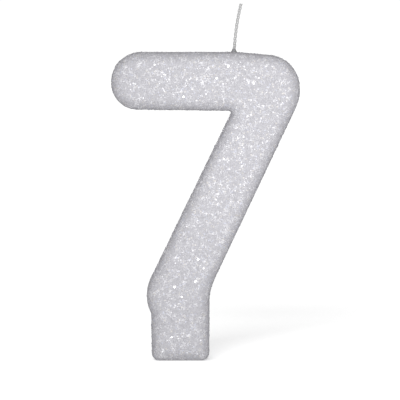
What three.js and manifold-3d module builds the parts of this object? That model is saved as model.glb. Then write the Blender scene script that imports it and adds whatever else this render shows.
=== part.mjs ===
// A number birthday candle in the shape of a 7. It is a moulded wax digit with a braided cotton wick,
// skinned with a clear binder film and coated with silver glitter in two passes, front and back.
//
// Millimetres, +Z up, +X to the right as the digit is read, the front face towards -Y.
// The origin is the centre of the flat wax underside of the foot, and y = 0 is the mould's parting plane.

import * as THREE from "three";
import { mergeVertices } from "three/addons/utils/BufferGeometryUtils.js";
import Module from "manifold-3d";

// Digit, measured over the glitter.
const DIGIT_HEIGHT = 70;
const BAR_LEFT = -15.84;
const BAR_DEPTH = 13.2;
const RIGHT_SIDE = 27.1;
const FOOT_HALF_WIDTH = 6.62;

// Cross-section: a flat face, a quarter-ellipse edge and a straight wall at the parting plane.
const HALF_WALL = 3.0;
const EDGE_REACH = 3.4;
const EDGE_RISE = 2.5;

// Coats, from the outside in.
const GLITTER_THICKNESS = 0.18;
const FILM_THICKNESS = 0.16;
const COAT_GAP = 0.06;
const COAT_HEM = 0.15;
const SEAM_GAP = 0.1;
const FILM_INSET = GLITTER_THICKNESS + COAT_GAP;
const WAX_INSET = FILM_INSET + FILM_THICKNESS + COAT_GAP;

// Wick: three yarns in a flat braid along one line, straight in the wax and bending right above it.
const WICK_X = 12.1;
const WICK_FOOT = 35.3;
const WICK_BEND_START = 67.5;
const WICK_BEND_RADIUS = 56.4;
const WICK_TIP = 80.8;
const YARN_COUNT = 3;
const YARN_DIAMETER = 0.25;
const YARN_SIDES = 6;
const BRAID_HALF_WIDTH = 0.26;
const BRAID_HALF_DEPTH = 0.18;
const BRAID_PITCH = 3.2;
const STEPS_PER_PITCH = 8;

// Wick hole in the wax, and the bead of wax that closes it.
const BORE_RADIUS = 0.6;
const BORE_CLEARANCE = 0.3;
const SEAT_DEPTH = 0.9;
const SEAT_RADIUS = 0.85;
const BEAD_RADIUS = 0.76;
const BEAD_HOLE_RADIUS = 0.5;
const BEAD_LIP_RADIUS = 0.57;
const BEAD_RISE = 0.55;

// Fineness of the faceted surfaces.
const ARC_STEP = THREE.MathUtils.degToRad(11);
const EDGE_STEPS = 4;
const SMALLEST_ROUND = 0.3;
const HOLE_SIDES = 20;
const BEAD_SIDES = 24;
const MERGE_DISTANCE = 1e-5;

// Corners of the digit, clockwise from the top left of the bar as it is read, with the radius of each.
const OUTLINE = [
  { x: BAR_LEFT, z: DIGIT_HEIGHT, round: 6.9 },
  { x: 12.5, z: DIGIT_HEIGHT, round: 13.6 },
  { x: RIGHT_SIDE, z: 68.7, round: 7.5 },
  { x: RIGHT_SIDE, z: 59.1, round: 9 },
  { x: 6.7, z: 15.95, round: 12 },
  { x: FOOT_HALF_WIDTH, z: 0, round: 1.9 },
  { x: -FOOT_HALF_WIDTH, z: 0, round: 1.9 },
  { x: -6.8, z: 10.6, round: 0.9 },
  { x: -8.75, z: 14.75, round: 9 },
  { x: 11.45, z: DIGIT_HEIGHT - BAR_DEPTH - 0.35, round: 0.34 },
  { x: BAR_LEFT, z: DIGIT_HEIGHT - BAR_DEPTH, round: 6.2 },
];
const BASE_EDGE = 5;

const wasm = await Module();
wasm.setup();

/** The point where two lines cross; each is a point and a unit direction. */
function crossing(first, second) {
  const apart = second.through.clone().sub(first.through);
  const along = apart.cross(second.along) / first.along.cross(second.along);
  return first.through.clone().addScaledVector(first.along, along);
}

/** The outline's edges, each moved inwards by `inset`, except the base of the foot by `baseInset`. */
function insetEdges(inset, baseInset) {
  return OUTLINE.map((corner, i) => {
    const next = OUTLINE[(i + 1) % OUTLINE.length];
    const along = new THREE.Vector2(next.x - corner.x, next.z - corner.z).normalize();
    const inward = new THREE.Vector2(along.y, -along.x);
    const distance = i === BASE_EDGE ? baseInset : inset;
    const through = new THREE.Vector2(corner.x, corner.z).addScaledVector(inward, distance);
    return { through, along, inward };
  });
}

/** The rounded outline moved inwards. Every inset gives the same number of points, in the same order. */
function insetRing(inset, baseInset) {
  const edges = insetEdges(inset, baseInset);
  const ring = [];
  OUTLINE.forEach((corner, i) => {
    const before = edges[(i + OUTLINE.length - 1) % OUTLINE.length];
    const after = edges[i];
    const turn = Math.atan2(before.along.cross(after.along), before.along.dot(after.along));
    const convex = turn < 0;
    const radius = convex ? Math.max(corner.round - inset, SMALLEST_ROUND) : corner.round + inset;
    const reach = radius * Math.tan(Math.abs(turn) / 2);
    const start = crossing(before, after).addScaledVector(before.along, -reach);
    const centre = start.clone().addScaledVector(before.inward, convex ? radius : -radius);
    const steps = Math.max(1, Math.ceil(Math.abs(turn) / ARC_STEP));
    for (let k = 0; k <= steps; k += 1) {
      ring.push(start.clone().rotateAround(centre, (turn * k) / steps));
    }
  });
  return ring;
}

/** The digit as a closed surface, moved inwards by `inset` everywhere but at its base, which stays at z = 0. */
function digitGeometry(inset) {
  const rings = [];
  for (let k = -EDGE_STEPS; k <= EDGE_STEPS; k += 1) {
    const angle = (Math.abs(k) / EDGE_STEPS) * (Math.PI / 2);
    const slope = (EDGE_REACH - inset) * (1 - Math.cos(angle));
    const depth = HALF_WALL + (EDGE_RISE - inset) * Math.sin(angle);
    const ring = insetRing(inset + slope, slope);
    const sides = k === 0 ? [-depth, depth] : [Math.sign(k) * depth];
    sides.forEach((y) => rings.push(ring.map((p) => [p.x, y, p.y])));
  }
  return loftGeometry(rings);
}

/** A closed surface through equal rings of [x, y, z] points, capped flat at both ends. */
function loftGeometry(rings) {
  const count = rings[0].length;
  const index = [];
  for (let r = 0; r + 1 < rings.length; r += 1) {
    for (let i = 0; i < count; i += 1) {
      const a = r * count + i;
      const b = r * count + ((i + 1) % count);
      index.push(a, b, a + count, b, b + count, a + count);
    }
  }
  const last = (rings.length - 1) * count;
  const capTriangles = (ring) => {
    const flat = ring.map(([x, , z]) => new THREE.Vector2(x, z));
    return THREE.ShapeUtils.triangulateShape(flat, []);
  };
  capTriangles(rings[0]).forEach(([a, b, c]) => index.push(a, b, c));
  capTriangles(rings.at(-1)).forEach(([a, b, c]) => index.push(last + a, last + c, last + b));
  const geometry = new THREE.BufferGeometry();
  geometry.setAttribute("position", new THREE.Float32BufferAttribute(rings.flat(2), 3));
  geometry.setIndex(index);
  return geometry;
}

/** A closed three.js geometry as a solid that can be joined and cut. */
function toSolid(geometry) {
  const bare = geometry.clone();
  bare.deleteAttribute("normal");
  bare.deleteAttribute("uv");
  const merged = mergeVertices(bare, MERGE_DISTANCE);
  const vertProperties = merged.attributes.position.array;
  const triVerts = Uint32Array.from(merged.index.array);
  return new wasm.Manifold(new wasm.Mesh({ numProp: 3, vertProperties, triVerts }));
}

/** A solid back as a three.js geometry. */
function toGeometry(solid) {
  const { vertProperties, triVerts } = solid.getMesh();
  const geometry = new THREE.BufferGeometry();
  geometry.setAttribute("position", new THREE.BufferAttribute(vertProperties, 3));
  geometry.setIndex(new THREE.BufferAttribute(triVerts, 1));
  geometry.computeVertexNormals();
  return geometry;
}

/** An upright cylinder on the wick's axis. */
function wickCylinder(radius, bottom, top) {
  const cylinder = new THREE.CylinderGeometry(radius, radius, top - bottom, HOLE_SIDES);
  cylinder.rotateX(Math.PI / 2);
  cylinder.translate(WICK_X, 0, (bottom + top) / 2);
  return toSolid(cylinder);
}

/** A box wider than the digit, between two depths and two heights. */
function wideBox(yMin, yMax, zMin, zMax) {
  const box = new THREE.BoxGeometry(4 * RIGHT_SIDE, yMax - yMin, zMax - zMin);
  box.translate(0, (yMin + yMax) / 2, (zMin + zMax) / 2);
  return toSolid(box);
}

/** A skin around the digit, open at the hem above the foot's underside and around the wick. */
function coatSolid(inset, thickness) {
  const outer = toSolid(digitGeometry(inset));
  const inner = toSolid(digitGeometry(inset + thickness));
  const hemCut = wideBox(-DIGIT_HEIGHT, DIGIT_HEIGHT, -COAT_HEM, COAT_HEM);
  const wickOpening = wickCylinder(SEAT_RADIUS, DIGIT_HEIGHT - 2 * SEAT_DEPTH, WICK_TIP);
  return outer.subtract(inner).subtract(hemCut).subtract(wickOpening);
}

/** A piece of the candle as a named mesh. */
function piece(name, geometry, material) {
  const mesh = new THREE.Mesh(geometry, material);
  mesh.name = name;
  return mesh;
}

const waxMaterial = () =>
  new THREE.MeshStandardMaterial({ color: 0xd9d8dd, roughness: 0.5, metalness: 0 });
const filmMaterial = () =>
  new THREE.MeshStandardMaterial({ color: 0xc6c5cb, roughness: 0.3, metalness: 0.1 });
const glitterMaterial = () =>
  new THREE.MeshStandardMaterial({ color: 0xd5d4d9, roughness: 0.42, metalness: 0.6 });
const cottonMaterial = () =>
  new THREE.MeshStandardMaterial({ color: 0xd8d8d5, roughness: 0.9, metalness: 0 });
const beadMaterial = () =>
  new THREE.MeshStandardMaterial({ color: 0x8e8d91, roughness: 0.45, metalness: 0 });

/** The moulded wax digit, with the wick's hole and the seat of the bead that closes it. */
function waxBody() {
  const bore = wickCylinder(BORE_RADIUS, WICK_FOOT - BORE_CLEARANCE, WICK_TIP);
  const seat = wickCylinder(SEAT_RADIUS, DIGIT_HEIGHT - SEAT_DEPTH, WICK_TIP);
  const digit = toSolid(digitGeometry(WAX_INSET));
  return piece("wax_body", toGeometry(digit.subtract(bore).subtract(seat)), waxMaterial());
}

/** The clear lacquer that holds the glitter to the wax. */
function binderFilm() {
  return piece("binder_film", toGeometry(coatSolid(FILM_INSET, FILM_THICKNESS)), filmMaterial());
}

/** One pass of glitter, from its face round to the parting plane. `side` is -1 in front and 1 behind. */
function glitterLayer(name, side) {
  const near = SEAM_GAP / 2;
  const far = DIGIT_HEIGHT;
  const [yMin, yMax] = side < 0 ? [-far, -near] : [near, far];
  const half = wideBox(yMin, yMax, -DIGIT_HEIGHT, 2 * DIGIT_HEIGHT);
  const layer = coatSolid(0, GLITTER_THICKNESS).intersect(half);
  return piece(name, toGeometry(layer), glitterMaterial());
}

/** The line that one yarn of the braid follows. `place` is the yarn's share of a pitch, 0 to 1. */
class YarnLine extends THREE.Curve {
  constructor(place) {
    super();
    this.place = place;
    this.straight = WICK_BEND_START - WICK_FOOT;
    this.bend = WICK_BEND_RADIUS * Math.asin((WICK_TIP - WICK_BEND_START) / WICK_BEND_RADIUS);
    this.length = this.straight + this.bend;
    this.arcLengthDivisions = 8 * this.steps();
  }

  steps() {
    return Math.round((this.length / BRAID_PITCH) * STEPS_PER_PITCH);
  }

  getPoint(t, target = new THREE.Vector3()) {
    const along = t * this.length;
    const lean = Math.max(0, along - this.straight) / WICK_BEND_RADIUS;
    const phase = 2 * Math.PI * (along / BRAID_PITCH + this.place);
    const sideways = BRAID_HALF_WIDTH * Math.sin(phase);
    const height = Math.min(along, this.straight) + WICK_BEND_RADIUS * Math.sin(lean);
    return target.set(
      WICK_X + WICK_BEND_RADIUS * (1 - Math.cos(lean)) + sideways * Math.cos(lean),
      BRAID_HALF_DEPTH * Math.sin(2 * phase),
      WICK_FOOT + height - sideways * Math.sin(lean),
    );
  }
}

/** One cotton yarn of the braided wick. */
function wickYarn(number) {
  const line = new YarnLine((number - 1) / YARN_COUNT);
  const section = new THREE.Shape();
  for (let i = 0; i < YARN_SIDES; i += 1) {
    const angle = (2 * Math.PI * i) / YARN_SIDES;
    const [x, y] = [Math.cos(angle), Math.sin(angle)].map((v) => (v * YARN_DIAMETER) / 2);
    if (i === 0) section.moveTo(x, y);
    else section.lineTo(x, y);
  }
  section.closePath();
  const geometry = new THREE.ExtrudeGeometry(section, { steps: line.steps(), extrudePath: line });
  return piece(`wick_yarn_${number}`, geometry, cottonMaterial());
}

/** The bead of wax around the root of the wick: a plug in the seat, drawn up the yarns as a meniscus. */
function wickSeal() {
  const plugBottom = COAT_GAP - SEAT_DEPTH;
  const inside = new THREE.Vector2(BEAD_HOLE_RADIUS, plugBottom);
  const profile = new THREE.Path();
  profile.moveTo(inside.x, inside.y);
  profile.lineTo(BEAD_RADIUS, plugBottom);
  profile.lineTo(BEAD_RADIUS, 0.05);
  profile.quadraticCurveTo(BEAD_LIP_RADIUS, 0.15, BEAD_LIP_RADIUS, BEAD_RISE);
  profile.lineTo(BEAD_HOLE_RADIUS, BEAD_RISE);
  profile.lineTo(inside.x, inside.y);
  const geometry = new THREE.LatheGeometry(profile.getPoints(4), BEAD_SIDES);
  geometry.rotateX(Math.PI / 2);
  const seal = piece("wick_seal", geometry, beadMaterial());
  seal.position.set(WICK_X, 0, DIGIT_HEIGHT);
  return seal;
}

const candle = new THREE.Group();
candle.name = "number_candle";
candle.add(waxBody(), binderFilm());
candle.add(glitterLayer("glitter_layer_front", -1), glitterLayer("glitter_layer_back", 1));
for (let number = 1; number <= YARN_COUNT; number += 1) {
  candle.add(wickYarn(number));
}
candle.add(wickSeal());

export default candle;
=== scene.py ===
"""Number birthday candle: wax casting, silver coats, braided wick and stage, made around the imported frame."""

import math

import bmesh
import bpy
from mathutils import Matrix, Vector, geometry, noise


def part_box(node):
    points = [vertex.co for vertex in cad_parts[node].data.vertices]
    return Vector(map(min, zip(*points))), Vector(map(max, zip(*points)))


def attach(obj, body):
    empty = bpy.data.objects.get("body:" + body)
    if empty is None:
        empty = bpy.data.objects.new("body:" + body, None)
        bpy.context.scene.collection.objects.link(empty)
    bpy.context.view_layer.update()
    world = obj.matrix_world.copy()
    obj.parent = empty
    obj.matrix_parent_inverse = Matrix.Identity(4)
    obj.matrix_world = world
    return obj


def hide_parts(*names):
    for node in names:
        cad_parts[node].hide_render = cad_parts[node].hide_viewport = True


bl_info = {
    "name": "Number Birthday Candle",
    "version": (1, 0, 0),
    "blender": (4, 5, 0),
    "location": "3D View > Sidebar > Candle",
    "description": "Makes a moulded number candle with glitter coats and a braided wick",
    "category": "Add Mesh",
}

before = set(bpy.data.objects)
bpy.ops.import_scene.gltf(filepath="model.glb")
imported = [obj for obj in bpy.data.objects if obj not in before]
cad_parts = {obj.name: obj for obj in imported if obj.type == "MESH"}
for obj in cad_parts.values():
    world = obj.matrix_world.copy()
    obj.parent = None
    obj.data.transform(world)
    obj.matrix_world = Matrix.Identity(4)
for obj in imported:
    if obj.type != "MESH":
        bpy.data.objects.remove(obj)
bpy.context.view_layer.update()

MM = 0.001
BODY = "root"

FRONT_LOW, FRONT_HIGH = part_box("glitter_layer_front")
BACK_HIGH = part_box("glitter_layer_back")[1]
WAX_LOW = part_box("wax_body")[0]
SEAL_LOW, SEAL_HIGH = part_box("wick_seal")

# The foot's base is this edge of the outline: from corner 5 to corner 6.
BASE_EDGE = 5
FOOT_CORNER = 1.9 * MM

# How far under the digit's top a point still counts as lying round the wick's root.
ROOT_ZONE = 1.5 * MM
# Radii round the wick: the hole in the wax, the hole in the film and where the glitter starts.
WAX_HOLE = 0.5 * MM
FILM_HOLE = 0.62 * MM
GLITTER_FROM = 0.75 * MM
HOLE_SIDES = 24

# The ridge along the parting line.
SEAM_HEIGHT = 0.07 * MM
SEAM_HALF_WIDTH = 0.1 * MM

# Depth of the dished underside and how much of it varies, in millimetres.
DISH_DEPTH = 0.26
DISH_RIPPLE = 0.1

# Flakes: their range of sizes, how much larger a mirror flake is, and the patches they gather in.
FLAKE_SCALES = (0.66, 1.3)
MIRROR_GROWTH = 0.4
PATCH_SIZE = 1.1 * MM
# How much of a matt flake's finish is drawn for it alone. The patch that it lies in gives the rest.
OWN_DRAW = 0.45
# The square of the surface normal's y from which a place is covered as fully as the faces are.
FACE_FROM = 0.25
# Keeps the random values of two seeds apart.
SEED_STEP = 97

LAMP_DISTANCE = 0.55


# ---------------------------------------------------------------- settings


def length(name, description, default):
    """A length property in metres, fine enough for tenths of a millimetre."""
    return bpy.props.FloatProperty(
        name=name, description=description, default=default, precision=6, subtype="DISTANCE", unit="LENGTH"
    )


def number(name, description, default, least=0.0):
    """A plain number property."""
    return bpy.props.FloatProperty(name=name, description=description, default=default, min=least)


def angle(name, description, degrees):
    """An angle property, with its default in degrees."""
    return bpy.props.FloatProperty(
        name=name, description=description, default=math.radians(degrees), subtype="ANGLE", unit="ROTATION"
    )


def tint(name, description, default):
    """A colour property in linear light."""
    return bpy.props.FloatVectorProperty(
        name=name, description=description, default=default, size=3, min=0, max=1, subtype="COLOR"
    )


class DigitSettings(bpy.types.PropertyGroup):
    """Sizes of the moulded digit, measured over the glitter."""

    height: length("Height", "Foot's underside to the top of the bar", FRONT_HIGH.z)
    left: length("Left end", "Left end of the bar, from the middle of the foot", FRONT_LOW.x)
    right: length("Right side", "Right side of the digit, from the middle of the foot", FRONT_HIGH.x)
    half_depth: length("Half thickness", "Parting plane to the flat face", BACK_HIGH.y)
    bar_depth: length("Bar depth", "Height of the bar", 13.2 * MM)
    foot_half_width: length("Foot half width", "Middle of the foot to its side", 6.62 * MM)
    half_wall: length("Half wall", "Half the straight wall between the rounded edges", 2.0 * MM)
    edge_reach: length("Edge reach", "How far in from the side the face starts to round over", 3.4 * MM)
    edge_squareness: number("Edge squareness", "2 rounds the edge to an ellipse, more makes it squarer", 2.5, 1)


class CoatSettings(bpy.types.PropertyGroup):
    """Sizes and colours of the lacquer film and the glitter."""

    wax_inset: length("Wax inset", "Outer surface of the glitter to the wax", WAX_LOW.x - FRONT_LOW.x)
    film_inset: length("Film inset", "Outer surface of the glitter to the film", 0.2 * MM)
    film_thickness: length("Film thickness", "Thickness of the lacquer film", 0.16 * MM)
    hem: length("Hem", "Height of the coats' lower edge over the foot's underside", 0.1 * MM)
    flake_width: length("Flake width", "Corner to corner of an average flake", 0.35 * MM)
    flake_thickness: length("Flake thickness", "Thickness of a flake", 0.012 * MM)
    spacing: length("Flake spacing", "Least distance between the middles of two flakes", 0.22 * MM)
    flakes_per_mm2: number("Flakes", "Most flakes on a square millimetre", 18.0, 0.1)
    tilt: angle("Tilt", "Largest tilt of a flake", 21)
    lift: length("Lift", "Most that a flake stands off the film", 0.07 * MM)
    clumping: number("Clumping", "How strongly matt flakes of like brightness gather in patches", 3.2)
    wall_cover: number("Wall cover", "Flakes on the side walls, as a share of those on the faces", 0.45)
    dust_colour: tint("Dust", "Silver dust in the lacquer", (0.60, 0.59, 0.63))
    wax_colour: tint("Wax", "Moulded wax", (0.70, 0.695, 0.72))


class WickSettings(bpy.types.PropertyGroup):
    """Sizes and colours of the braided wick and the bead at its root."""

    axis_x: length("Axis", "Wick's axis, from the middle of the foot", (SEAL_LOW.x + SEAL_HIGH.x) / 2)
    foot: length("Wick foot", "Height of the end in the wax", 35.3 * MM)
    bend_start: length("Bend start", "Height where the wick starts to lean", 67.5 * MM)
    bend_radius: length("Bend radius", "Radius of the lean", 56.4 * MM)
    tip: length("Wick tip", "Height of the free end", 80.8 * MM)
    braid_half_width: length("Braid half width", "How far a yarn swings to each side", 0.26 * MM)
    braid_half_depth: length("Braid half depth", "How far a yarn swings to front and back", 0.18 * MM)
    braid_pitch: length("Braid pitch", "Length over which a yarn returns to its place", 3.2 * MM)
    yarn_diameter: length("Yarn diameter", "Diameter of one yarn", 0.27 * MM)
    cotton_colour: tint("Cotton", "Waxed cotton", (0.60, 0.60, 0.60))
    # The bead's dark grey is painted shade at the wick's root; the wax itself is not that dark.
    bead_painted_shade_colour: tint("Bead", "Wax around the wick's root", (0.25, 0.25, 0.26))


class StageSettings(bpy.types.PropertyGroup):
    """Floor, lights and camera."""

    floor_size: length("Floor", "Side of the floor", 6.0)
    floor_gap: length("Floor gap", "How far the floor lies under the candle's lowest point", 0.02 * MM)
    view_width: length("View width", "Width of what the camera sees at the digit", 90.75 * MM)
    view_x: length("View centre", "Middle of the view, from the middle of the foot", 4.41 * MM)
    view_z: length("View height", "Middle of the view over the floor", 36.31 * MM)
    camera_distance: length("Camera distance", "Camera to the digit", 0.9)
    camera_elevation: angle("Camera elevation", "Angle above the horizon", 3.2)


# ---------------------------------------------------------------- node trees


class Value:
    """An output socket that can be used in Python expressions."""

    def __init__(self, maker, socket):
        self.maker = maker
        self.socket = socket

    def _maths(self, operation, first, second):
        return self.maker.add("ShaderNodeMath", {"operation": operation}, {0: first, 1: second})["Value"]

    def __add__(self, other):
        return self._maths("ADD", self, other)

    def __radd__(self, other):
        return self._maths("ADD", other, self)

    def __sub__(self, other):
        return self._maths("SUBTRACT", self, other)

    def __rsub__(self, other):
        return self._maths("SUBTRACT", other, self)

    def __mul__(self, other):
        return self._maths("MULTIPLY", self, other)

    def __rmul__(self, other):
        return self._maths("MULTIPLY", other, self)

    def at_most(self, limit):
        """The value, held down to a limit."""
        return self._maths("MINIMUM", self, limit)

    def above(self, limit):
        """1 where the value is more than the limit, else 0."""
        return self._maths("GREATER_THAN", self, limit)


def pick(sockets, key):
    """A socket by number, or the first one in use by name."""
    if isinstance(key, int):
        return sockets[key]
    return next(s for s in sockets if s.name == key and s.enabled)


class Made:
    """A node whose outputs are read as values."""

    def __init__(self, maker, node):
        self.maker = maker
        self.node = node

    def __getitem__(self, key):
        return Value(self.maker, pick(self.node.outputs, key))


class NodeMaker:
    """Adds nodes to a tree."""

    def __init__(self, tree):
        self.tree = tree

    def add(self, kind, settings=None, inputs=None):
        """Adds a node: its settings are set first, then its inputs are filled or linked."""
        node = self.tree.nodes.new(kind)
        for key, value in (settings or {}).items():
            setattr(node, key, value)
        for key, value in (inputs or {}).items():
            self.feed(pick(node.inputs, key), value)
        return Made(self, node)

    def feed(self, socket, value):
        """Links a value to a socket, or sets the socket to a plain one."""
        if isinstance(value, Value):
            self.tree.links.new(value.socket, socket)
        else:
            socket.default_value = value

    def mix(self, factor, first, second):
        """A colour between two colours."""
        settings = {"data_type": "RGBA", "clamp_factor": True}
        inputs = {"Factor": factor, "A": as_colour(first), "B": as_colour(second)}
        return self.add("ShaderNodeMix", settings, inputs)["Result"]

    def vector(self, operation, first, second):
        """Vector maths on two vectors, or on a vector and a number where the operation takes one."""
        inputs = {0: first, "Scale" if operation == "SCALE" else 1: second}
        return self.add("ShaderNodeVectorMath", {"operation": operation}, inputs)["Vector"]


def as_colour(value):
    """A colour with its alpha, or the value itself where it is a link."""
    return value if isinstance(value, Value) else (*value[:3], 1.0)


def scaled(colour, factor):
    """A colour made lighter or darker."""
    return tuple(min(1.0, c * factor) for c in colour)


class Finish(NodeMaker):
    """A material's tree, with its surface shader ready."""

    def __init__(self, name, **surface):
        self.material = bpy.data.materials.new(name)
        self.material.use_nodes = True
        super().__init__(self.material.node_tree)
        self.shader = self.tree.nodes["Principled BSDF"]
        self.surface(**surface)

    def surface(self, **values):
        """Sets or links the surface shader's sockets; Base_Color stands for Base Color."""
        for key, value in values.items():
            name = key.replace("_", " ")
            is_colour = name.endswith("Color")
            self.feed(self.shader.inputs[name], as_colour(value) if is_colour else value)

    def place(self):
        """Where a point of the piece is, in metres."""
        return self.add("ShaderNodeTexCoord")["Object"]

    def noise(self, size, detail=2.0, roughness=0.5, where=None):
        """Smooth noise from 0 to 1 with features of about the given size in metres."""
        inputs = {"Vector": where or self.place(), "Scale": 1 / size, "Detail": detail, "Roughness": roughness}
        return self.add("ShaderNodeTexNoise", {}, inputs)["Fac"]

    def grains(self, size):
        """Random grains of about the given width in metres: the colour is random in each one."""
        inputs = {"Vector": self.place(), "Scale": 1 / size, "Randomness": 1.0}
        return self.add("ShaderNodeTexVoronoi", {"feature": "F1"}, inputs)

    def spread(self, value, low, high, to_low=0.0, to_high=1.0):
        """The part of a value between low and high, stretched to a new range and held at its ends."""
        inputs = {"Value": value, "From Min": low, "From Max": high, "To Min": to_low, "To Max": to_high}
        return self.add("ShaderNodeMapRange", {"clamp": True}, inputs)["Result"]

    def bump(self, height, distance, strength=1.0):
        """A normal from a height between 0 and 1 that stands for a distance in metres."""
        inputs = {"Height": height, "Distance": distance, "Strength": strength}
        return self.add("ShaderNodeBump", {}, inputs)["Normal"]


# ---------------------------------------------------------------- finishes


def wax_finish(colour):
    """Moulded paraffin: satin, faintly cloudy, with the mould's fine grain."""
    wax = Finish("moulded_wax", Subsurface_Weight=0.25, Subsurface_Scale=0.6 * MM, Specular_IOR_Level=0.45)
    grain = wax.noise(0.18 * MM, detail=4.0)
    height = wax.noise(3.0 * MM, detail=3.0) * 0.6 + grain * 0.4
    wax.surface(
        Base_Color=wax.mix(wax.spread(height, 0.3, 0.7), scaled(colour, 0.84), scaled(colour, 1.12)),
        Roughness=wax.spread(grain, 0.3, 0.7, 0.36, 0.6),
        Normal=wax.bump(height, 0.14 * MM),
    )
    return wax.material


def lacquer_finish(colour):
    """Lacquer full of silver dust: each grain has its own brightness and its own tilt."""
    film = Finish("silver_dust_lacquer", Metallic=0.1, Specular_IOR_Level=0.3)
    dust = film.grains(0.13 * MM)
    lot = film.add("ShaderNodeSeparateColor", {}, {"Color": dust["Color"]})
    patch = film.noise(1.1 * MM, detail=3.0, roughness=0.6)
    shade = film.mix(lot["Red"], scaled(colour, 0.84), scaled(colour, 1.14))
    patched = film.mix(film.spread(patch, 0.35, 0.65), shade, film.mix(0.5, shade, scaled(colour, 0.9)))
    lean = film.vector("SCALE", film.vector("SUBTRACT", dust["Color"], (0.5, 0.5, 0.5)), 0.42)
    facing = film.add("ShaderNodeNewGeometry")["Normal"]
    film.surface(
        Base_Color=patched,
        Roughness=film.spread(lot["Green"], 0.0, 1.0, 0.48, 0.66),
        Normal=film.vector("NORMALIZE", film.vector("ADD", facing, lean), (0, 0, 0)),
    )
    return film.material


# Name, colour, metallic, roughness and share of each kind of flake, from the darkest to the brightest.
FLAKE_KINDS = (
    ("glitter_grey", (0.615, 0.61, 0.645), 0.15, 0.60, 24),
    ("glitter_silver", (0.68, 0.675, 0.71), 0.10, 0.60, 30),
    ("glitter_cool", (0.68, 0.69, 0.77), 0.20, 0.52, 5),
    ("glitter_warm", (0.75, 0.725, 0.71), 0.20, 0.52, 5),
    ("glitter_pale", (0.785, 0.78, 0.815), 0.10, 0.58, 30),
    ("glitter_bright", (0.85, 0.845, 0.875), 0.35, 0.52, 3.4),
    ("glitter_mirror", (0.93, 0.93, 0.95), 1.00, 0.32, 0.35),
)


def flake_finishes():
    """One plain finish for each kind of flake, with its share."""
    made = []
    for name, colour, metallic, roughness, share in FLAKE_KINDS:
        finish = Finish(name, Base_Color=colour, Metallic=metallic, Roughness=roughness, Specular_IOR_Level=0.3)
        made.append((finish.material, share))
    return made


def cotton_finish(colour):
    """Waxed cotton: fibres along each yarn, darker towards the foot of the wick."""
    cotton = Finish("waxed_cotton", Sheen_Weight=0.15, Specular_IOR_Level=0.4)
    along = cotton.add("ShaderNodeAttribute", {"attribute_name": "yarn_place"})["Vector"]
    fibres = cotton.noise(1.0, detail=3.0, roughness=0.7, where=along)
    blotch = cotton.noise(0.5 * MM, detail=2.0)
    height = cotton.add("ShaderNodeSeparateXYZ", {}, {"Vector": cotton.place()})["Z"]
    # The cotton is made darker over its lowest 2.5 mm above the digit's top.
    darker_near_root = 1 - cotton.spread(height, 70.0 * MM, 72.5 * MM)
    dry = cotton.mix(fibres * 0.7 + blotch * 0.3, scaled(colour, 0.72), scaled(colour, 1.3))
    cotton.surface(
        Base_Color=cotton.mix(darker_near_root * 0.75, dry, scaled(colour, 0.52)),
        Roughness=cotton.spread(fibres, 0.3, 0.7, 0.55, 0.8),
        Normal=cotton.bump(fibres, 0.02 * MM, 0.8),
    )
    return cotton.material


def bead_finish(colour):
    """Wax drawn up the wick, with a little silver dust caught in it. Its dark grey is painted shade at the
    wick's root.
    """
    bead = Finish("bead_wax", Subsurface_Weight=0.1, Subsurface_Scale=0.3 * MM)
    dust = bead.grains(0.12 * MM)
    lot = bead.add("ShaderNodeSeparateColor", {}, {"Color": dust["Color"]})
    speck = lot["Red"].above(0.62)
    # Painted shade: the bead's dark grey stands in for the shade at the wick's root.
    plain = bead.mix(lot["Blue"], scaled(colour, 0.75), scaled(colour, 1.2))
    bead.surface(
        Base_Color=bead.mix(speck, plain, scaled(colour, 1.9)),
        Metallic=speck * 0.7,
        Roughness=bead.spread(lot["Green"], 0.0, 1.0, 0.35, 0.55),
        Normal=bead.bump(bead.noise(0.2 * MM, detail=3.0), 0.03 * MM),
    )
    return bead.material


# ---------------------------------------------------------------- meshes


def to_object(name, mesh):
    """A shown object that holds a mesh."""
    made = bpy.data.objects.new(name, mesh)
    bpy.context.scene.collection.objects.link(made)
    return made


def from_bmesh(name, work):
    """A shown, smooth-shaded object made from a bmesh, which is freed."""
    mesh = bpy.data.meshes.new(name)
    work.to_mesh(mesh)
    work.free()
    mesh.shade_smooth()
    return to_object(name, mesh)


def settled(worker, name):
    """The worker object with its modifiers worked in, as a plain object of the given name. The worker goes."""
    seen = worker.evaluated_get(bpy.context.evaluated_depsgraph_get())
    mesh = bpy.data.meshes.new_from_object(seen)
    mesh.name = name
    drop(worker)
    return to_object(name, mesh)


def drop(thing):
    """Removes a helper object and its data."""
    data = thing.data
    kind = thing.type
    bpy.data.objects.remove(thing)
    if kind == "MESH":
        bpy.data.meshes.remove(data)
    elif kind == "CURVE":
        bpy.data.curves.remove(data)


def finish_piece(piece, finish, slot, *nodes):
    """Gives a piece its finish and its body, and hides the nodes that it stands for. The slot is not used."""
    if finish:
        piece.data.materials.clear()
        piece.data.materials.append(finish)
    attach(piece, BODY)
    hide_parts(*nodes)


# ---------------------------------------------------------------- the digit's surface


def outline(digit):
    """Corners of the digit, clockwise from the top left of the bar: x, z and the radius of each."""
    bar_under = digit.height - digit.bar_depth
    foot = digit.foot_half_width
    return [
        (digit.left, digit.height, 6.9 * MM),
        (12.5 * MM, digit.height, 13.6 * MM),
        (digit.right, 68.7 * MM, 7.5 * MM),
        (digit.right, 59.1 * MM, 9.0 * MM),
        (6.7 * MM, 15.95 * MM, 12.0 * MM),
        (foot, 0.0, FOOT_CORNER),
        (-foot, 0.0, FOOT_CORNER),
        (-6.8 * MM, 10.6 * MM, 0.9 * MM),
        (-8.75 * MM, 14.75 * MM, 9.0 * MM),
        (11.45 * MM, bar_under - 0.35 * MM, 0.34 * MM),
        (digit.left, bar_under, 6.2 * MM),
    ]


def cross(first, second):
    """Signed area between two flat vectors."""
    return first.x * second.y - first.y * second.x


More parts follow.
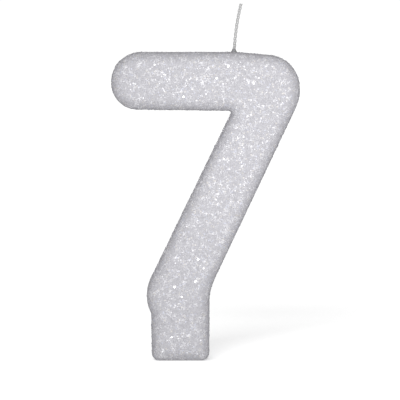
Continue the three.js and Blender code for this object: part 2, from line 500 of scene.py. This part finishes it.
def inset_arcs(corners, inset, base_inset, smallest_round):
    """Each corner's arc after the edges have moved inwards, as its centre, first arm and turn."""
    count = len(corners)
    edges = []
    for i, (x, z, _) in enumerate(corners):
        next_x, next_z, _ = corners[(i + 1) % count]
        along = Vector((next_x - x, next_z - z)).normalized()
        inward = Vector((along.y, -along.x))
        moved = base_inset if i == BASE_EDGE else inset
        edges.append((Vector((x, z)) + inward * moved, along, inward))
    arcs = []
    for i, (_, _, rounding) in enumerate(corners):
        before, along_before, inward = edges[i - 1]
        after, along_after, _ = edges[i]
        turn = math.atan2(cross(along_before, along_after), along_before.dot(along_after))
        convex = turn < 0
        radius = max(rounding - inset, smallest_round) if convex else rounding + inset
        corner = before + along_before * (cross(after - before, along_after) / cross(along_before, along_after))
        start = corner - along_before * (radius * math.tan(abs(turn) / 2))
        centre = start + inward * (radius if convex else -radius)
        arcs.append((centre, start - centre, turn))
    return arcs


class Outline:
    """The digit's outline, cut into the same number of points at every inset."""

    def __init__(self, digit, spacing):
        self.corners = outline(digit)
        self.smallest_round = 1.2 * MM
        arcs = inset_arcs(self.corners, 0.0, 0.0, 0.0)
        self.arc_steps = []
        self.straight_steps = []
        for i, (centre, arm, turn) in enumerate(arcs):
            bend = max(abs(turn) / math.radians(7), arm.length * abs(turn) / spacing)
            self.arc_steps.append(max(2, math.ceil(bend)))
            arm_end = arm.copy()
            arm_end.rotate(Matrix.Rotation(turn, 2))
            next_centre, next_arm, _ = arcs[(i + 1) % len(arcs)]
            straight = (next_centre + next_arm - centre - arm_end).length
            self.straight_steps.append(max(1, round(straight / spacing)))

    def ring(self, inset, base_inset):
        """Points of the outline, clockwise, moved inwards."""
        arcs = inset_arcs(self.corners, inset, base_inset, self.smallest_round)
        runs = []
        for (centre, arm, turn), steps in zip(arcs, self.arc_steps):
            run = []
            for k in range(steps + 1):
                turned = arm.copy()
                turned.rotate(Matrix.Rotation(turn * k / steps, 2))
                run.append(centre + turned)
            runs.append(run)
        points = []
        for i, run in enumerate(runs):
            points += run
            ahead = runs[(i + 1) % len(runs)][0]
            steps = self.straight_steps[i]
            points += [run[-1].lerp(ahead, k / steps) for k in range(1, steps)]
        return points


def digit_levels(digit, inset, edge_steps, wall_levels):
    """The rings of the digit's surface from front to back: y, inset of the sides, inset of the base."""
    reach = digit.edge_reach - inset
    rise = digit.half_depth - digit.half_wall - inset
    front = []
    for k in range(edge_steps, 0, -1):
        turn = k / edge_steps * math.pi / 2
        slope = reach * (1 - max(0.0, math.cos(turn)) ** (2 / digit.edge_squareness))
        depth = rise * math.sin(turn) ** (2 / digit.edge_squareness)
        front.append((-digit.half_wall - depth, inset + slope, slope))
    walls = [(digit.half_wall * level, inset, 0.0) for level in wall_levels]
    back = [(-y, side, base) for y, side, base in reversed(front)]
    return front + walls + back


def face_points(ring, spacing):
    """Points on a triangular grid inside a ring, clear of its edge."""
    xs = [p.x for p in ring]
    zs = [p.y for p in ring]
    inside = []
    row_height = spacing * math.sin(math.pi / 3)
    for row in range(int((max(zs) - min(zs)) / row_height)):
        z = min(zs) + (row + 0.5) * row_height
        hits = []
        for first, second in zip(ring, ring[1:] + ring[:1]):
            if (first.y > z) != (second.y > z):
                hits.append(first.x + (z - first.y) / (second.y - first.y) * (second.x - first.x))
        hits.sort()
        for start, end in zip(hits[::2], hits[1::2]):
            first_column = math.ceil((start + 0.6 * spacing - min(xs)) / spacing)
            for column in range(first_column, int((end - 0.6 * spacing - min(xs)) / spacing) + 1):
                inside.append(Vector((min(xs) + (column + 0.5 * (row % 2)) * spacing, z)))
    return [p for p in inside if all((p - q).length > 0.5 * spacing for q in ring)]


def add_face(work, ring, y, spacing):
    """Fills the flat face inside a ring with an even net of triangles."""
    points = list(ring) + face_points(ring, spacing)
    rim = [(i, (i + 1) % len(ring)) for i in range(len(ring))]
    flat, _, faces, _, _, _ = geometry.delaunay_2d_cdt(points, rim, [], 1, 1e-9)
    made = [work.verts.new((p.x, y, p.y)) for p in flat]
    for face in faces:
        work.faces.new([made[i] for i in face])


def digit_bmesh(digit, inset, spacing, edge_steps=9, wall_levels=(-1, -0.5, 0, 0.5, 1)):
    """The closed surface of the digit, moved inwards by the inset except at its base."""
    shape = Outline(digit, spacing)
    work = bmesh.new()
    rings = []
    flats = []
    for y, side, base in digit_levels(digit, inset, edge_steps, wall_levels):
        flat = shape.ring(side, base)
        flats.append((flat, y))
        rings.append([work.verts.new((p.x, y, p.y)) for p in flat])
    for near, far in zip(rings, rings[1:]):
        for i in range(len(near)):
            j = (i + 1) % len(near)
            work.faces.new((near[i], near[j], far[j], far[i]))
    add_face(work, *flats[0], spacing)
    add_face(work, *flats[-1], spacing)
    bmesh.ops.remove_doubles(work, verts=work.verts, dist=1e-7)
    bmesh.ops.recalc_face_normals(work, faces=work.faces)
    work.normal_update()
    return work


def roughen(work, size, height, seed):
    """Moves the vertices in and out a little, as a poured or dipped surface has it."""
    work.normal_update()
    shift = Vector((seed * 7.3, seed * 3.1, seed * 5.7))
    for vert in work.verts:
        vert.co += vert.normal * (height * noise.noise(vert.co / size + shift))


def raise_seam(work, height, half_width):
    """Lifts a thin ridge along the parting plane, where the mould's halves met."""
    for vert in work.verts:
        if abs(vert.co.y) < 3 * half_width:
            vert.co += vert.normal * (height * math.exp(-((vert.co.y / half_width) ** 2)))


def open_round_hole(work, x, radius, lowest):
    """Opens a round hole for the wick in the part of a surface that lies over the given height."""
    cut_zone = 3 * radius

    def reach(face):
        spot = face.calc_center_median()
        return math.hypot(spot.x - x, spot.y) if spot.z > lowest else math.inf

    for k in range(HOLE_SIDES):
        turn = 2 * math.pi * k / HOLE_SIDES
        outward = Vector((math.cos(turn), math.sin(turn), 0))
        near = [face for face in work.faces if reach(face) < cut_zone]
        edges = {edge for face in near for edge in face.edges}
        verts = {vert for face in near for vert in face.verts}
        edge_of_hole = Vector((x, 0, 0)) + outward * radius
        bmesh.ops.bisect_plane(
            work, geom=[*verts, *edges, *near], dist=1e-8, plane_co=edge_of_hole, plane_no=outward
        )
    inside = [face for face in work.faces if reach(face) < radius * math.cos(math.pi / HOLE_SIDES)]
    bmesh.ops.delete(work, geom=inside, context="FACES")


def cut_wick_hole(piece, x, radius, bottom, top):
    """Cuts a round upright hole for the wick."""
    work = bmesh.new()
    place = Matrix.Translation((x, 0, (bottom + top) / 2))
    bmesh.ops.create_cone(
        work, cap_ends=True, segments=32, radius1=radius, radius2=radius, depth=top - bottom, matrix=place
    )
    tool = from_bmesh("hole_tool", work)
    cut = piece.modifiers.new("wick hole", "BOOLEAN")
    cut.operation = "DIFFERENCE"
    cut.solver = "EXACT"
    cut.object = tool
    made = settled(piece, piece.name)
    drop(tool)
    return made


# ---------------------------------------------------------------- geometry node trees


def new_tree(name, inputs):
    """A geometry node tree with a Geometry input and output and the named inputs, given as name: kind."""
    tree = bpy.data.node_groups.new(name, "GeometryNodeTree")
    tree.interface.new_socket("Geometry", in_out="INPUT", socket_type="NodeSocketGeometry")
    for socket_name, kind in inputs.items():
        tree.interface.new_socket(socket_name, in_out="INPUT", socket_type=kind)
    tree.interface.new_socket("Geometry", in_out="OUTPUT", socket_type="NodeSocketGeometry")
    return NodeMaker(tree)


def run_tree(worker, tree, values):
    """Puts a tree on an object as a modifier, with its inputs set by their identifiers."""
    modifier = worker.modifiers.new(tree.name, "NODES")
    modifier.node_group = tree
    for item in tree.interface.items_tree:
        if item.in_out == "INPUT" and item.name in values:
            modifier[item.identifier] = values[item.name]


def random_value(maker, kind, low, high, seed, salt):
    """A random value for each point; the salt keeps two values of one seed apart."""
    inputs = {"Min": low, "Max": high, "Seed": seed * SEED_STEP + salt}
    return maker.add("FunctionNodeRandomValue", {"data_type": kind}, inputs)["Value"]


def flake_body(maker, width, thickness):
    """A closed six-cornered flake: three raised and three lowered corners inside one hull."""
    triangle = maker.add("GeometryNodeMeshCircle", {}, {"Vertices": 3, "Radius": width * 0.5})["Mesh"]
    lift = maker.add("ShaderNodeCombineXYZ", {}, {"Z": thickness * 0.5})["Vector"]
    sink = maker.add("ShaderNodeCombineXYZ", {}, {"Z": thickness * -0.5})["Vector"]
    top = maker.add("GeometryNodeTransform", {}, {"Geometry": triangle, "Translation": lift})["Geometry"]
    turned = {"Geometry": triangle, "Translation": sink, "Rotation": (0, 0, math.pi / 3)}
    bottom = maker.add("GeometryNodeTransform", {}, turned)["Geometry"]
    joined = maker.add("GeometryNodeJoinGeometry")
    for part in (top, bottom):
        maker.tree.links.new(part.socket, joined.node.inputs[0])
    return maker.add("GeometryNodeConvexHull", {}, {"Geometry": joined["Geometry"]})["Convex Hull"]


def flake_tree(finishes):
    """Scatters tilted flakes over a surface and shares the finishes out among them."""
    names = ("Width", "Thickness", "Spacing", "Density", "Tilt", "Lift", "Lowest", "Clumping", "Wall Cover")
    maker = new_tree("Glitter Flakes", {**dict.fromkeys(names, "NodeSocketFloat"), "Seed": "NodeSocketInt"})
    given = maker.add("NodeGroupInput")
    seed = given["Seed"]
    normal = maker.add("GeometryNodeInputNormal")["Normal"]
    across = maker.add("ShaderNodeSeparateXYZ", {}, {"Vector": normal})["Y"]
    cover_inputs = {
        "Value": across * across,
        "From Min": 0.0,
        "From Max": FACE_FROM,
        "To Min": given["Wall Cover"],
        "To Max": 1.0,
    }
    scatter_inputs = {
        "Mesh": given["Geometry"],
        "Distance Min": given["Spacing"],
        "Density Max": given["Density"],
        "Density Factor": maker.add("ShaderNodeMapRange", {"clamp": True}, cover_inputs)["Result"],
        "Seed": seed,
    }
    poisson = {"distribute_method": "POISSON"}
    scatter = maker.add("GeometryNodeDistributePointsOnFaces", poisson, scatter_inputs)
    facing_inputs = {"Vector": scatter["Normal"]}
    facing = maker.add("FunctionNodeAlignRotationToVector", {"axis": "Z"}, facing_inputs)["Rotation"]
    lean = random_value(maker, "FLOAT_VECTOR", (-1, -1, 0), (1, 1, 0), seed, 1)
    strength = random_value(maker, "FLOAT", 0.0, 1.0, seed, 2)
    spin = random_value(maker, "FLOAT", 0.0, 2 * math.pi, seed, 3)
    tilted = maker.vector("SCALE", lean, strength * given["Tilt"])
    spun = maker.add("ShaderNodeCombineXYZ", {}, {"Z": spin})["Vector"]
    turned = facing
    for turn in (tilted, spun):
        inputs = {"Rotation": turned, "Rotate By": turn}
        turned = maker.add("FunctionNodeRotateRotation", {"rotation_space": "LOCAL"}, inputs)["Rotation"]
    raised = random_value(maker, "FLOAT", 0.0, 1.0, seed, 4) * given["Lift"]
    lifted = maker.vector("SCALE", scatter["Normal"], raised)
    position = maker.add("GeometryNodeInputPosition")["Position"]
    height = maker.add("ShaderNodeSeparateXYZ", {}, {"Vector": position})["Z"]
    kept = maker.add(
        "GeometryNodeSeparateGeometry",
        {"domain": "POINT"},
        {"Geometry": scatter["Points"], "Selection": height.above(given["Lowest"])},
    )["Selection"]
    points = maker.add("GeometryNodeSetPosition", {}, {"Geometry": kept, "Offset": lifted})["Geometry"]
    total = sum(share for _, share in finishes)
    glints_from = 1 - sum(share for _, share in finishes[-2:]) / total
    mirrors_from = 1 - finishes[-1][1] / total
    drift_inputs = {"Scale": 1 / PATCH_SIZE, "Detail": 2.0, "Roughness": 0.5}
    drift = (maker.add("ShaderNodeTexNoise", {}, drift_inputs)["Fac"] - 0.5) * given["Clumping"]
    drawn = random_value(maker, "FLOAT", 0.0, 1.0, seed, 5)
    glint = drawn.above(glints_from)
    clumped = (drawn * OWN_DRAW + (1 - OWN_DRAW) * glints_from / 2 + drift).at_most(glints_from)
    random_lot = glint * drawn + (1 - glint) * clumped
    marked = maker.add(
        "GeometryNodeStoreNamedAttribute",
        {"data_type": "FLOAT", "domain": "POINT"},
        {"Geometry": points, "Name": "lot", "Value": random_lot},
    )["Geometry"]
    growth = 1 + MIRROR_GROWTH * drawn.above(mirrors_from)
    placed = maker.add(
        "GeometryNodeInstanceOnPoints",
        {},
        {
            "Points": marked,
            "Instance": flake_body(maker, given["Width"], given["Thickness"]),
            "Rotation": turned,
            "Scale": random_value(maker, "FLOAT", *FLAKE_SCALES, seed, 6) * growth,
        },
    )["Instances"]
    flakes = maker.add("GeometryNodeRealizeInstances", {}, {"Geometry": placed})["Geometry"]
    lot = maker.add("GeometryNodeInputNamedAttribute", {"data_type": "FLOAT"}, {"Name": "lot"})["Attribute"]
    passed = 0
    for material, share in finishes:
        inputs = {"Geometry": flakes, "Material": material}
        if passed:
            inputs["Selection"] = lot.above(passed / total)
        flakes = maker.add("GeometryNodeSetMaterial", {}, inputs)["Geometry"]
        passed += share
    maker.add("NodeGroupOutput", {}, {"Geometry": flakes})
    return maker.tree


def yarn_tree(finish):
    """Turns a yarn's line into three twisted plies."""
    names = ("Diameter", "Twist Length", "Ply Depth")
    maker = new_tree("Plied Yarn", dict.fromkeys(names, "NodeSocketFloat"))
    given = maker.add("NodeGroupInput")
    along = maker.add("GeometryNodeSplineParameter")["Length"]
    twist = maker.add("ShaderNodeMath", {"operation": "DIVIDE"}, {0: along, 1: given["Twist Length"]})["Value"]
    twisted_inputs = {"Curve": given["Geometry"], "Tilt": twist * (2 * math.pi)}
    twisted = maker.add("GeometryNodeSetCurveTilt", {}, twisted_inputs)["Curve"]
    kept = maker.add("GeometryNodeStoreNamedAttribute", {"data_type": "FLOAT", "domain": "POINT"},
                     {"Geometry": twisted, "Name": "along", "Value": along})["Geometry"]
    circle_inputs = {"Resolution": 18, "Radius": 1.0}
    circle = maker.add("GeometryNodeCurvePrimitiveCircle", {"mode": "RADIUS"}, circle_inputs)["Curve"]
    around = maker.add("GeometryNodeSplineParameter")["Factor"]
    lobes = maker.add("ShaderNodeMath", {"operation": "COSINE"}, {0: around * (6 * math.pi)})["Value"]
    radius = given["Diameter"] * 0.5 * (1 - given["Ply Depth"] * (0.5 - 0.5 * lobes))
    spot = maker.add("GeometryNodeInputPosition")["Position"]
    shaped_inputs = {"Geometry": circle, "Position": maker.vector("SCALE", spot, radius)}
    shaped = maker.add("GeometryNodeSetPosition", {}, shaped_inputs)
    marked = maker.add("GeometryNodeStoreNamedAttribute", {"data_type": "FLOAT", "domain": "POINT"},
                       {"Geometry": shaped["Geometry"], "Name": "around", "Value": around})["Geometry"]
    tube_inputs = {"Curve": kept, "Profile Curve": marked, "Fill Caps": True}
    tube = maker.add("GeometryNodeCurveToMesh", {}, tube_inputs)["Mesh"]
    # 24 noise units round the yarn and 2500 to the metre along it draw the fibres out lengthwise.
    read = {
        name: maker.add("GeometryNodeInputNamedAttribute", {"data_type": "FLOAT"}, {"Name": name})["Attribute"]
        for name in ("around", "along")
    }
    place_inputs = {"X": read["around"] * 24.0, "Y": read["along"] * 2500.0}
    place = maker.add("ShaderNodeCombineXYZ", {}, place_inputs)["Vector"]
    placed = maker.add("GeometryNodeStoreNamedAttribute", {"data_type": "FLOAT_VECTOR", "domain": "POINT"},
                       {"Geometry": tube, "Name": "yarn_place", "Value": place})["Geometry"]
    solid = maker.add("GeometryNodeRealizeInstances", {}, {"Geometry": placed})["Geometry"]
    done = maker.add("GeometryNodeSetMaterial", {}, {"Geometry": solid, "Material": finish})["Geometry"]
    maker.add("NodeGroupOutput", {}, {"Geometry": done})
    return maker.tree


# ---------------------------------------------------------------- wick


def wick_point(wick, travelled, sideways=0.0, depth=0.0):
    """A point of the wick: so far along its line from its foot, and so far off it to the right and back."""
    straight = wick.bend_start - wick.foot
    lean = max(0.0, travelled - straight) / wick.bend_radius
    return Vector((
        wick.axis_x + wick.bend_radius * (1 - math.cos(lean)) + sideways * math.cos(lean),
        depth,
        wick.foot + min(travelled, straight) + wick.bend_radius * math.sin(lean) - sideways * math.sin(lean),
    ))


def wick_length(wick):
    """Length of the wick's line."""
    rise = wick.tip - wick.bend_start
    return wick.bend_start - wick.foot + wick.bend_radius * math.asin(rise / wick.bend_radius)


def yarn_line(wick, number):
    """The line of one yarn of the flat braid, as a curve object."""
    whole = wick_length(wick)
    steps = round(whole / wick.braid_pitch * 26)
    curve = bpy.data.curves.new(f"yarn_line_{number}", "CURVE")
    curve.dimensions = "3D"
    spline = curve.splines.new("POLY")
    spline.points.add(steps)
    for k in range(steps + 1):
        travelled = whole * k / steps
        phase = 2 * math.pi * (travelled / wick.braid_pitch + (number - 1) / 3)
        sideways = wick.braid_half_width * math.sin(phase)
        depth = wick.braid_half_depth * math.sin(2 * phase)
        spline.points[k].co = (*wick_point(wick, travelled, sideways, depth), 1.0)
    return to_object(curve.name, curve)


# ---------------------------------------------------------------- operators


class CANDLE_OT_wax_casting(bpy.types.Operator):
    """Makes the moulded wax digit with its dished underside and wick hole"""

    bl_idname = "candle.wax_casting"
    bl_label = "Wax casting"

    def execute(self, context):
        digit = context.scene.candle_digit
        coat = context.scene.candle_coat
        wick = context.scene.candle_wick
        levels = (-1, -0.8, -0.6, -0.4, -0.2, 0, 0.2, 0.4, 0.6, 0.8, 1)
        work = digit_bmesh(digit, coat.wax_inset, 0.6 * MM, edge_steps=6, wall_levels=levels)
        self.dish_underside(work, digit)
        body = from_bmesh("wax_casting", work)
        body = cut_wick_hole(body, wick.axis_x, WAX_HOLE, wick.foot - 0.3 * MM, wick.tip)
        finish_piece(body, wax_finish(coat.wax_colour), "wax", "wax_body")
        return {"FINISHED"}

    def dish_underside(self, work, digit):
        """Sinks the middle of the underside a little, as wax does when it sets in an upturned mould."""
        half_width = digit.foot_half_width - FOOT_CORNER
        half_wall = digit.half_wall
        for vert in work.verts:
            if vert.co.z < 0.001 * MM and abs(vert.co.x) < half_width:
                across = 1 - (vert.co.x / half_width) ** 2
                through = max(0.0, 1 - (vert.co.y / half_wall) ** 2)
                ripple = noise.noise(vert.co / (1.4 * MM))
                vert.co.z += across * through * (DISH_DEPTH + DISH_RIPPLE * ripple) * MM


class CANDLE_OT_lacquer_film(bpy.types.Operator):
    """Makes the lacquer film that wraps the wax, open at the hem and around the wick"""

    bl_idname = "candle.lacquer_film"
    bl_label = "Lacquer film"

    def execute(self, context):
        digit = context.scene.candle_digit
        coat = context.scene.candle_coat
        wick = context.scene.candle_wick
        film = from_bmesh("lacquer_film", film_surface(digit, coat, wick))
        shell = film.modifiers.new("thickness", "SOLIDIFY")
        shell.thickness = coat.film_thickness
        shell.offset = -1
        film = settled(film, "lacquer_film")
        finish_piece(film, lacquer_finish(coat.dust_colour), "binder_lacquer", "binder_film")
        return {"FINISHED"}


def film_surface(digit, coat, wick):
    """The outer surface of the lacquer film, open at its hem and around the wick."""
    levels = (-1, -0.7, -0.4, -0.15, -0.07, -0.03, 0, 0.03, 0.07, 0.15, 0.4, 0.7, 1)
    work = digit_bmesh(digit, coat.film_inset, 0.45 * MM, edge_steps=10, wall_levels=levels)
    everything = work.verts[:] + work.edges[:] + work.faces[:]
    bmesh.ops.bisect_plane(
        work, geom=everything, dist=1e-8, plane_co=(0, 0, coat.hem), plane_no=(0, 0, 1), clear_inner=True
    )
    open_round_hole(work, wick.axis_x, FILM_HOLE, digit.height - ROOT_ZONE)
    raise_seam(work, SEAM_HEIGHT, SEAM_HALF_WIDTH)
    roughen(work, 2.6 * MM, 0.04 * MM, seed=1)
    roughen(work, 0.9 * MM, 0.015 * MM, seed=2)
    return work


class CANDLE_OT_glitter(bpy.types.Operator):
    """Scatters the glitter of the front pass and of the back pass over the film"""

    bl_idname = "candle.glitter"
    bl_label = "Glitter"

    def execute(self, context):
        digit = context.scene.candle_digit
        coat = context.scene.candle_coat
        wick = context.scene.candle_wick
        tree = flake_tree(flake_finishes())
        for name, side, seed, node in (
            ("glitter_flakes_front", -1, 3, "glitter_layer_front"),
            ("glitter_flakes_back", 1, 11, "glitter_layer_back"),
        ):
            work = film_surface(digit, coat, wick)
            strays = [f for f in work.faces if not self.takes_glitter(f, side, digit, wick)]
            bmesh.ops.delete(work, geom=strays, context="FACES")
            worker = from_bmesh(name, work)
            run_tree(worker, tree, {
                "Width": coat.flake_width,
                "Thickness": coat.flake_thickness,
                "Spacing": coat.spacing,
                "Density": coat.flakes_per_mm2 / MM**2,
                "Tilt": coat.tilt,
                "Lift": coat.lift,
                "Lowest": coat.hem + 0.5 * coat.flake_width,
                "Clumping": coat.clumping,
                "Wall Cover": coat.wall_cover,
                "Seed": seed,
            })
            flakes = settled(worker, name)
            flakes.data.shade_flat()
            if not flakes.data.polygons:
                raise RuntimeError(f"{name} came out empty")
            finish_piece(flakes, None, "silver_glitter", node)
        return {"FINISHED"}

    def takes_glitter(self, face, side, digit, wick):
        """Whether flakes land on a face: on this pass's half, clear of the wick's root."""
        spot = face.calc_center_median()
        off_axis = math.hypot(spot.x - wick.axis_x, spot.y)
        near_root = spot.z > digit.height - ROOT_ZONE and off_axis < GLITTER_FROM
        return spot.y * side > 0 and not near_root


class CANDLE_OT_wick_yarns(bpy.types.Operator):
    """Makes the three plied yarns of the braided wick"""

    bl_idname = "candle.wick_yarns"
    bl_label = "Wick yarns"

    def execute(self, context):
        wick = context.scene.candle_wick
        finish = cotton_finish(wick.cotton_colour)
        tree = yarn_tree(finish)
        for number in (1, 2, 3):
            line = yarn_line(wick, number)
            run_tree(line, tree, {
                "Diameter": wick.yarn_diameter,
                "Twist Length": 1.1 * MM,
                "Ply Depth": 0.2,
            })
            yarn = settled(line, f"cotton_yarn_{number}")
            if not yarn.data.polygons:
                raise RuntimeError("the yarn tree made nothing")
            yarn.data.shade_smooth()
            finish_piece(yarn, None, "wick_cotton", f"wick_yarn_{number}")
        return {"FINISHED"}


class CANDLE_OT_wick_bead(bpy.types.Operator):
    """Makes the bead of wax that seals the wick's root"""

    bl_idname = "candle.wick_bead"
    bl_label = "Wick bead"

    def execute(self, context):
        digit = context.scene.candle_digit
        wick = context.scene.candle_wick
        profile = self.profile(digit)
        turns = 40
        work = bmesh.new()
        rings = []
        for k in range(turns):
            turn = 2 * math.pi * k / turns
            across = Vector((math.cos(turn), math.sin(turn), 0))
            ring = []
            for radius, z in profile:
                wobble = 1 + 0.06 * noise.noise(across * 1.3 + Vector((0, 0, z / MM)))
                spot = across * radius * wobble
                ring.append(work.verts.new((wick.axis_x + spot.x, spot.y, z)))
            rings.append(ring)
        for near, far in zip(rings, rings[1:] + rings[:1]):
            for i in range(len(profile)):
                j = (i + 1) % len(profile)
                work.faces.new((near[i], near[j], far[j], far[i]))
        bmesh.ops.recalc_face_normals(work, faces=work.faces)
        bead = from_bmesh("wick_bead", work)
        finish_piece(bead, bead_finish(wick.bead_painted_shade_colour), "bead_wax", "wick_seal")
        return {"FINISHED"}

    def profile(self, digit):
        """Radius and height round the bead's closed section: plug, skirt, meniscus and hole."""
        top = digit.height
        outer = [(0.58 * MM, top - 0.84 * MM), (0.58 * MM, top - 0.35 * MM)]
        steps = 12
        meniscus = []
        for k in range(steps + 1):
            share = k / steps
            radius = (0.40 + 0.33 * (1 - share) ** 2.0) * MM
            meniscus.append((radius, top + (-0.12 + 0.7 * share) * MM))
        lip = [(0.36 * MM, top + 0.56 * MM), (0.33 * MM, top + 0.45 * MM)]
        return outer + meniscus + lip + [(0.33 * MM, top - 0.84 * MM)]


class CANDLE_OT_stage(bpy.types.Operator):
    """Sets the floor, the lights, the sky and the camera"""

    bl_idname = "candle.stage"
    bl_label = "Stage"

    def execute(self, context):
        stage = context.scene.candle_stage
        self.floor(stage)
        self.sky(context.scene)
        self.lights()
        self.camera(context.scene, stage)
        context.scene.view_settings.view_transform = "Standard"
        return {"FINISHED"}

    def floor(self, stage):
        """A pale floor that glows a little, so that it stays white around the soft shadow."""
        work = bmesh.new()
        place = Matrix.Translation((0, 0, -stage.floor_gap))
        bmesh.ops.create_grid(work, x_segments=8, y_segments=8, size=stage.floor_size / 2, matrix=place)
        floor = from_bmesh("floor", work)
        white = Finish("floor_white", Roughness=0.9, Specular_IOR_Level=0.0)
        mottle = white.noise(0.2, detail=1.0)
        white.surface(
            Base_Color=white.mix(mottle, (0.93, 0.93, 0.93), (0.95, 0.95, 0.95)),
            Emission_Color=(1.0, 1.0, 1.0),
            Emission_Strength=0.36,
        )
        beneath = white.add("ShaderNodeNewGeometry")["Backfacing"]
        clear = white.add("ShaderNodeBsdfTransparent")["BSDF"]
        solid = Value(white, white.shader.outputs["BSDF"])
        shown = white.add("ShaderNodeMixShader", {}, {0: beneath, 1: solid, 2: clear})["Shader"]
        white.feed(white.tree.nodes["Material Output"].inputs["Surface"], shown)
        floor.data.materials.append(white.material)
        floor.visible_diffuse = False
        floor.visible_glossy = False
        floor.visible_shadow = False

    def sky(self, scene):
        """White behind the object, dimmer for the light that it gives."""
        scene.world = bpy.data.worlds.new("sky")
        scene.world.use_nodes = True
        maker = NodeMaker(scene.world.node_tree)
        seen = maker.add("ShaderNodeLightPath")["Is Camera Ray"]
        strength = 0.46 + seen * 0.60
        maker.feed(maker.tree.nodes["Background"].inputs["Color"], (1.0, 1.0, 1.0, 1.0))
        maker.feed(maker.tree.nodes["Background"].inputs["Strength"], strength)

    def lights(self):
        """Soft lights before and behind for the candle, and a low soft one for the floor's shadow."""
        disk = {"shape": "DISK", "size": 0.16}
        front = self.lamp("front light", "AREA", energy=0.0475, spread=math.radians(24), **disk)
        aim(front, Vector((26 * MM, 0, 51 * MM)), 0, 5, LAMP_DISTANCE)
        back = self.lamp("back light", "AREA", energy=0.12, spread=math.radians(40), **disk)
        aim(back, Vector((16 * MM, 0, 46 * MM)), 186, 3, LAMP_DISTANCE)
        for lamp in (front, back):
            lamp.visible_camera = False
        self.share_light(front, "EXCLUDE", "floor")
        self.share_light(back, "EXCLUDE", "floor", "glitter_flakes_front")
        low = self.lamp("shadow light", "SUN", energy=3.6, angle=math.radians(26))
        aim(low, Vector((0, 0, 0)), -8, 16, 1.0)
        self.share_light(low, "INCLUDE", "floor")

    def share_light(self, lamp, state, *names):
        """Keeps a light off the named objects, or on them alone."""
        group = bpy.data.collections.new(f"receivers of {lamp.name}")
        for name in names:
            if name in bpy.data.objects:
                group.objects.link(bpy.data.objects[name])
        for link in group.collection_objects:
            link.light_linking.link_state = state
        lamp.light_linking.receiver_collection = group

    def lamp(self, name, kind, **settings):
        """A light of the given kind, still to be aimed."""
        light = bpy.data.lights.new(name, kind)
        for key, value in settings.items():
            setattr(light, key, value)
        lamp = bpy.data.objects.new(name, light)
        bpy.context.scene.collection.objects.link(lamp)
        return lamp

    def camera(self, scene, stage):
        """A long lens from the front."""
        data = bpy.data.cameras.new("camera")
        data.sensor_width = 36.0
        data.lens = data.sensor_width * stage.camera_distance / stage.view_width
        data.clip_start = 0.01
        camera = bpy.data.objects.new("camera", data)
        scene.collection.objects.link(camera)
        centre = Vector((stage.view_x, 0, stage.view_z))
        aim(camera, centre, 0, math.degrees(stage.camera_elevation), stage.camera_distance)
        scene.camera = camera


def aim(thing, centre, azimuth, elevation, distance):
    """Places a light or camera round a point and points it there. Angles in degrees, azimuth from the front."""
    turn = math.radians(azimuth)
    rise = math.radians(elevation)
    back = Vector((math.sin(turn) * math.cos(rise), -math.cos(turn) * math.cos(rise), math.sin(rise)))
    thing.location = centre + back * distance
    thing.rotation_euler = (-back).to_track_quat("-Z", "Y").to_euler()


class CANDLE_PT_pieces(bpy.types.Panel):
    """Lists the candle's pieces and its stage"""

    bl_label = "Number Candle"
    bl_idname = "CANDLE_PT_pieces"
    bl_space_type = "VIEW_3D"
    bl_region_type = "UI"
    bl_category = "Candle"

    def draw(self, context):
        for settings in SETTINGS:
            group = getattr(context.scene, settings)
            box = self.layout.box()
            for key in group.bl_rna.properties.keys():
                if key not in ("rna_type", "name"):
                    box.prop(group, key)
        for piece in PIECES:
            self.layout.operator(piece.bl_idname)


SETTINGS = {
    "candle_digit": DigitSettings,
    "candle_coat": CoatSettings,
    "candle_wick": WickSettings,
    "candle_stage": StageSettings,
}
PIECES = (
    CANDLE_OT_wax_casting,
    CANDLE_OT_lacquer_film,
    CANDLE_OT_glitter,
    CANDLE_OT_wick_yarns,
    CANDLE_OT_wick_bead,
    CANDLE_OT_stage,
)


def register():
    for group in (*SETTINGS.values(), *PIECES, CANDLE_PT_pieces):
        bpy.utils.register_class(group)
    for name, group in SETTINGS.items():
        setattr(bpy.types.Scene, name, bpy.props.PointerProperty(type=group))


def unregister():
    for name in SETTINGS:
        delattr(bpy.types.Scene, name)
    for group in reversed((*SETTINGS.values(), *PIECES, CANDLE_PT_pieces)):
        bpy.utils.unregister_class(group)


def main():
    register()
    bpy.ops.candle.wax_casting()
    bpy.ops.candle.lacquer_film()
    bpy.ops.candle.glitter()
    bpy.ops.candle.wick_yarns()
    bpy.ops.candle.wick_bead()
    bpy.ops.candle.stage()


if __name__ == "__main__":
    main()
